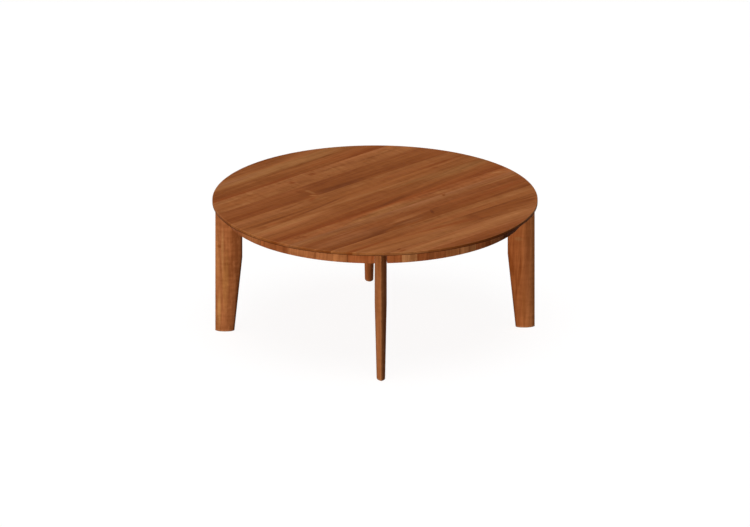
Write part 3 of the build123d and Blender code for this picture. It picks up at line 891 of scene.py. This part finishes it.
# In millimetres. Places along the bolt count from the leg's middle.
HALF_FLATS = 6.5
CHAMFER_START = 6.15
CHAMFER = math.tan(math.radians(30))
HEAD_TOP = -25.0
HEAD_SEAT = -19.7
SHANK_START = -19.0
THREAD_START = 16.0
BOLT_TIP = 29.7
BOLT_RADIUS = 4.0
TIP_RADIUS = 3.2
THREAD_DEPTH = 0.62
THREAD_PITCH = 1.25
THREAD_STEP = 0.155
CREST_WEAR = 0.6
AROUND = 72


def hexagon_edge(around):
    """Distance from the middle to a hexagon's edge in each direction: half the flats over the
    cosine of the angle from the nearest flat's middle."""
    angle = np.linspace(0, 2 * np.pi, around, endpoint=False)
    return HALF_FLATS / np.cos((angle + np.pi / 6) % (np.pi / 3) - np.pi / 6)


def threaded(height, around, radius, depth, pitch):
    """Radius of a thread, a triangular wave of the height less a turn's share of the pitch, and
    how near it is to its crest, 0 to 1."""
    turn = np.arange(around) / around
    wave = np.abs(2 * ((height / pitch - turn) % 1) - 1)
    return radius - depth * wave, 1 - wave


def outline(rows, around):
    """Radius, height and wear of a turned outline as arrays of (rows, around). Each of its rows
    gives the three, as a number or as one value for each direction."""
    return [np.array([row[part] + np.zeros(around) for row in rows]) for part in range(3)]


def pivot_bolt():
    """Head from a hexagon cut by a 30-degree cone, then the shank, whose thread fades in over
    one pitch and ends in a chamfer."""
    edge = hexagon_edge(AROUND)
    drop = (edge - CHAMFER_START) * CHAMFER
    radius, height, wear = outline([
        (3.0, HEAD_TOP, 0.1), (CHAMFER_START, HEAD_TOP, 0.6), (edge, HEAD_TOP + drop, 0.9),
        (edge, HEAD_SEAT, 0.3), (5.0, HEAD_SEAT, 0), (BOLT_RADIUS, HEAD_SEAT + 0.05, 0)], AROUND)
    plain = np.linspace(SHANK_START, THREAD_START, 8)
    along = np.concatenate([plain, np.arange(THREAD_START + 0.15, BOLT_TIP, THREAD_STEP)])[:, None]
    thread, crest = threaded(along, AROUND, BOLT_RADIUS, THREAD_DEPTH, THREAD_PITCH)
    fade = np.clip((along - THREAD_START) / THREAD_PITCH, 0, 1)
    chamfered = TIP_RADIUS + (BOLT_TIP - along)
    shank = np.minimum(BOLT_RADIUS - (BOLT_RADIUS - thread) * fade, chamfered)
    radius = np.concatenate([radius, shank])
    height = np.concatenate([height, along + 0 * shank])
    wear = np.concatenate([wear, CREST_WEAR * crest * fade])
    return worn_skin(round_grid(radius, height, AROUND), wear, [(0, 0, HEAD_TOP), (0, 0, BOLT_TIP)])


def fastener_material(name, tone):
    """Plated metal, worn where the mesh says so."""
    material, tree = new_material(name)
    here = add(tree, "ShaderNodeTexCoord").outputs["Object"]
    wear = add(tree, "ShaderNodeAttribute", attribute_name="wear").outputs["Fac"]
    finish_metal(tree, here, tone, wear)
    return material


bolt_zinc = fastener_material("bolt_zinc", srgb(140, 142, 143))
fit_pieces("pivot_bolts_turned", pivot_bolt(), PIVOTS, bolt_zinc, "pivot_bolts")


# ---- the lock nuts ---------------------------------------------------
# Zinc-plated hexagon nuts with a crimped collar that holds a white nylon ring, which grips
# the thread.

NUT_SEAT = 19.7
NUT_SHOULDER = 25.1
NUT_BORE = 4.05
RING_SEAT = 26.0
CRIMPED_RADIUS = 4.62
# Outlines as radius, height and wear: the collar from the shoulder over the crimp, and the ring.
COLLAR = [(5.95, 25.2, 0.1), (5.85, 25.5, 0.1), (5.8, 26.7, 0.2), (5.6, 27.3, 0.4),
          (5.2, 27.62, 0.7), (4.8, 27.7, 0.6), (CRIMPED_RADIUS, 27.6, 0.3)]
NYLON_RING = [(4.02, 26.05, 0), (4.6, 26.05, 0), (4.6, 27.1, 0), (4.45, 27.25, 0), (4.2, 27.25, 0),
              (4.02, 27.1, 0)]
RING_AROUND = 48


def turned_ring(rows, around):
    """The skin of a ring turned from a closed outline."""
    radius, height, wear = outline(rows, around)
    return worn_skin(round_grid(radius, height, around), wear)


def lock_nut():
    """A ring: flat seat, hexagon cut by cones at both ends, then the collar, crimped inwards
    over its ring, and the bore."""
    edge = hexagon_edge(AROUND)
    drop = (edge - CHAMFER_START) * CHAMFER
    hexagon = [(NUT_BORE, NUT_SEAT, 0), (CHAMFER_START, NUT_SEAT, 0.5), (edge, NUT_SEAT + drop, 0.9),
               (edge, NUT_SHOULDER - drop, 0.9), (CHAMFER_START, NUT_SHOULDER, 0.5)]
    recess = [(CRIMPED_RADIUS, RING_SEAT, 0), (NUT_BORE, RING_SEAT, 0)]
    return turned_ring(hexagon + COLLAR + recess, AROUND)


white_nylon = nylon_material("white_nylon", srgb(226, 226, 222))
fit_pieces("lock_nuts_turned", lock_nut(), PIVOTS, bolt_zinc, "lock_nuts")
fit_pieces("lock_nut_rings", turned_ring(NYLON_RING, RING_AROUND), PIVOTS, white_nylon)


# ---- the bracket screws ----------------------------------------------
# Zinc-plated wood screws of 4 mm with pan heads and cross recesses, driven up through the
# flanges into the boards.

# In millimetres. Heights count from the flange's lower face up into the wood.
HEAD_FACE = -2.4
HEAD_UNDERSIDE = -0.02
FACE_RADIUS = 3.1
HEAD_RADIUS = 3.95
HEAD_INSIDE = 3.0
EDGE_DROP = 1.3
CROSS_DEPTH = 1.5
CROSS_REACH = 2.5
CROSS_HALF_WIDTH = 0.62
CROSS_WALL = 0.16
CROSS_CURVE = 0.6
FACE_WEAR = 0.25
EDGE_WEAR = 0.3
WALL_WEAR = 0.9
SCREW_START = -0.4
SCREW_THREAD_START = 2.5
SCREW_POINT = 16.5
POINT_LENGTH = 4.0
POINT_SHARE = 0.04
SCREW_RADIUS = 1.98
SCREW_DEPTH = 0.6
SCREW_PITCH = 1.8
SCREW_STEP = 0.26
SCREW_WEAR = 0.5
SCREW_AROUND = 20


def screw_head():
    """A face with a cross sunk in it, a quarter-round edge and a flat seat. The cross is as deep
    as a power of what is left of its reach, and falls off steeply over its walls."""
    angle = np.linspace(0, 2 * np.pi, AROUND, endpoint=False)
    face = np.linspace(0.12, FACE_RADIUS, 20)[:, None]
    along, aside = np.abs(face * np.cos(angle)), np.abs(face * np.sin(angle))
    long, wide = np.maximum(along, aside), np.minimum(along, aside)
    walls = np.clip((CROSS_HALF_WIDTH - wide) / CROSS_WALL, 0, 1)
    sunk = CROSS_DEPTH * np.clip(1 - long / CROSS_REACH, 0, 1) ** CROSS_CURVE * walls
    arc = np.linspace(0, np.pi / 2, 6)[1:, None]
    edge_radius = FACE_RADIUS + (HEAD_RADIUS - FACE_RADIUS) * np.sin(arc)
    edge_height = HEAD_FACE + EDGE_DROP * (1 - np.cos(arc))
    seat = np.array([[HEAD_RADIUS], [HEAD_INSIDE]])
    seat_height = np.full(seat.shape, HEAD_UNDERSIDE)
    radius = np.concatenate([face, edge_radius, seat]) + 0 * angle
    height = np.concatenate([HEAD_FACE + sunk, np.concatenate([edge_height, seat_height]) + 0 * angle])
    worn_walls = (walls > 0) & (walls < 1) & (long < CROSS_REACH - 0.1)
    edge_wear = np.full((len(arc) + len(seat), AROUND), EDGE_WEAR)
    wear = np.concatenate([np.where(worn_walls, WALL_WEAR, FACE_WEAR), edge_wear])
    poles = [(0, 0, HEAD_FACE + CROSS_DEPTH), (0, 0, HEAD_UNDERSIDE)]
    return worn_skin(round_grid(radius, height, AROUND), wear, poles)


def screw_shank():
    """A coarse thread that fades in over a millimetre, on a shank that tapers to a point."""
    along = np.arange(SCREW_START, SCREW_POINT, SCREW_STEP)[:, None]
    thread, crest = threaded(along, SCREW_AROUND, SCREW_RADIUS, SCREW_DEPTH, SCREW_PITCH)
    fade = np.clip(along - SCREW_THREAD_START, 0, 1)
    taper = np.clip((SCREW_POINT + 0.1 - along) / POINT_LENGTH, POINT_SHARE, 1)
    radius = (SCREW_RADIUS - (SCREW_RADIUS - thread) * fade) * taper
    poles = [(0, 0, SCREW_START), (0, 0, SCREW_POINT)]
    wear = SCREW_WEAR * crest * fade
    return worn_skin(round_grid(radius, along + 0 * radius, SCREW_AROUND), wear, poles)


def stacked(parts):
    """Several skins as one, with their wear as one array."""
    starts = np.cumsum([0] + [len(points) for points, _, _, _ in parts[:-1]])
    return (np.concatenate([part[0] for part in parts]),
            np.concatenate([part[1] + start for part, start in zip(parts, starts)]),
            np.concatenate([part[2] + start for part, start in zip(parts, starts)]),
            np.concatenate([part[3] for part in parts]))


# At the right leg: out from the table's middle and sideways, then the flanges' lower face.
SCREW_PLACES = ((353, 36.2), (383, 36.2), (353, -36.2), (383, -36.2))
FLANGE_FACE = 355.5
FIRST_SPIN = 0.4
SPIN_STEP = 1.3

screw_zinc = fastener_material("screw_zinc", srgb(160, 157, 146))
wood_screw = stacked([screw_head(), screw_shank()])
screws = []
for turn in QUARTERS:
    for number, (out, sideways) in enumerate(SCREW_PLACES):
        spin = FIRST_SPIN + SPIN_STEP * number + turn
        c, s = math.cos(spin), math.sin(spin)
        screws.append(carried_round(turn, [[c, -s, 0, out], [s, c, 0, sideways], [0, 0, 1, FLANGE_FACE]]))
fit_pieces("bracket_screws_turned", wood_screw, screws, screw_zinc, "bracket_screws")
